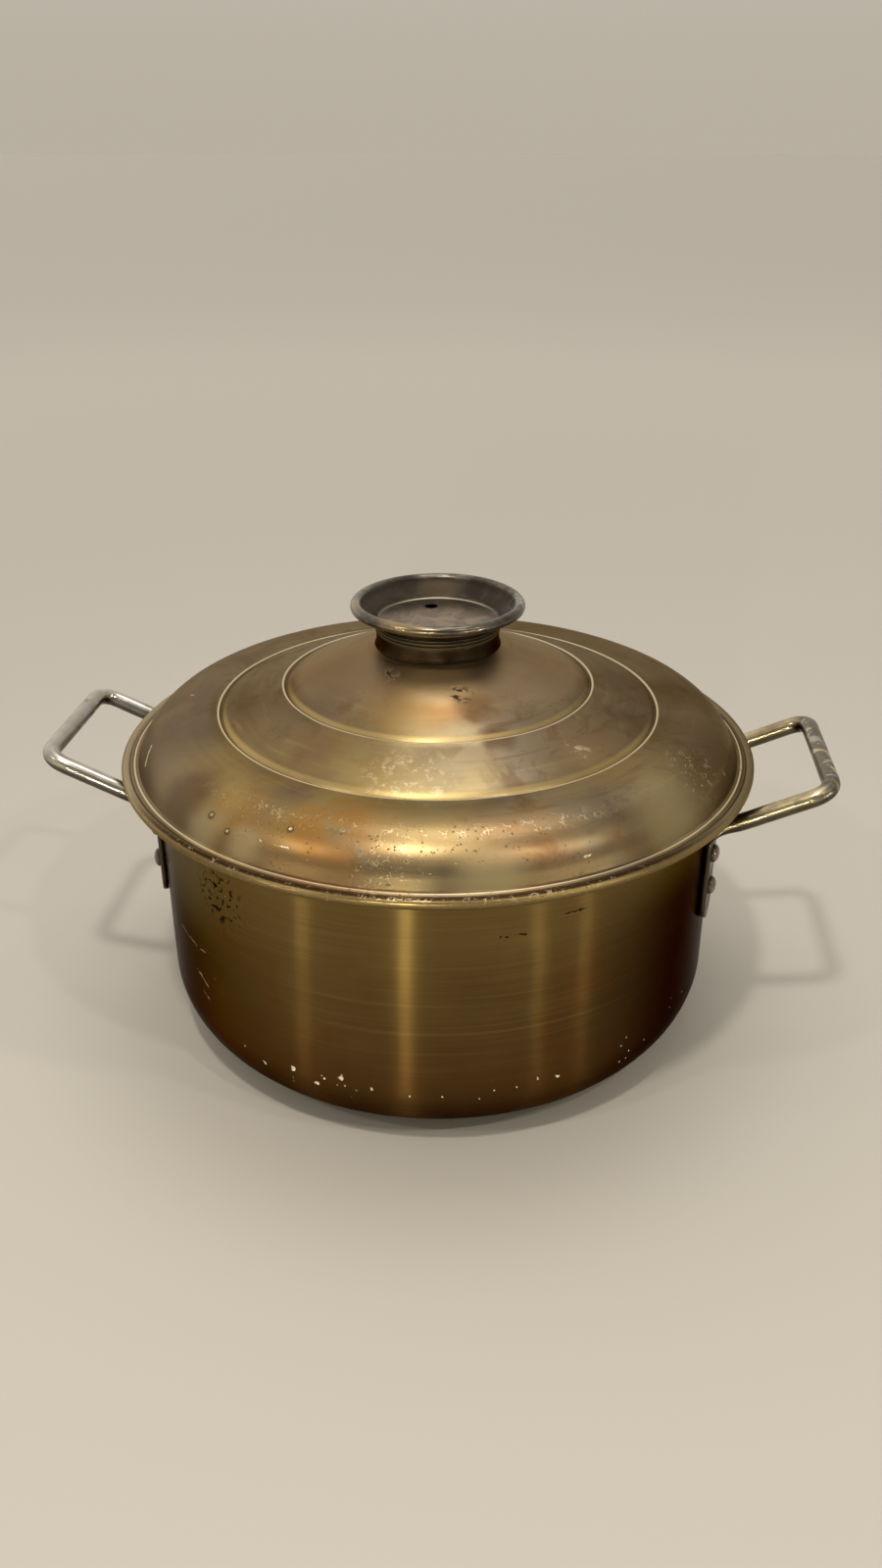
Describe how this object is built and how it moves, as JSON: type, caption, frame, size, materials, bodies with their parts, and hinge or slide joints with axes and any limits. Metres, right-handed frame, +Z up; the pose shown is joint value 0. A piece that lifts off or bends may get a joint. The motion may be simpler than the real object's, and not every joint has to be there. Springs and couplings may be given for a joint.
{
  "type": "lidded cooking pot",
  "caption": "Round brass-toned cooking pot with a stepped dome lid, a dish-shaped knob and riveted rod handles at both sides.",
  "frame": {"origin": "centre of the pot's flat underside", "axes": "+Z up along the pot's axis; +X towards one rod handle and -X towards the other; -Y is the front"},
  "size_m": [0.4116, 0.333, 0.2311],
  "materials": {
    "pot_brass": "tarnished, brushed around",
    "lid_brass": "tarnished, worn polish",
    "collar_metal": "dark tarnish",
    "knob_metal": "stained polish",
    "handle_chrome": "worn polish",
    "rivet_metal": "dull"
  },
  "bodies": {
    "pot": {"pot_body": "pot_brass", "handle_right": "handle_chrome", "handle_left": "handle_chrome", "rivet_right_front_upper": "rivet_metal", "rivet_right_front_lower": "rivet_metal", "rivet_right_back_upper": "rivet_metal", "rivet_right_back_lower": "rivet_metal", "rivet_left_front_upper": "rivet_metal", "rivet_left_front_lower": "rivet_metal", "rivet_left_back_upper": "rivet_metal", "rivet_left_back_lower": "rivet_metal"},
    "lid": {"lid_shell": "lid_brass", "knob_collar": "collar_metal", "knob_dish": "knob_metal"}
  },
  "joints": [
    {"name": "lid_lift", "type": "slide", "parent": "pot", "child": "lid", "axis": [0, 0, 1], "range_m": [0, 0.2]}
  ]
}
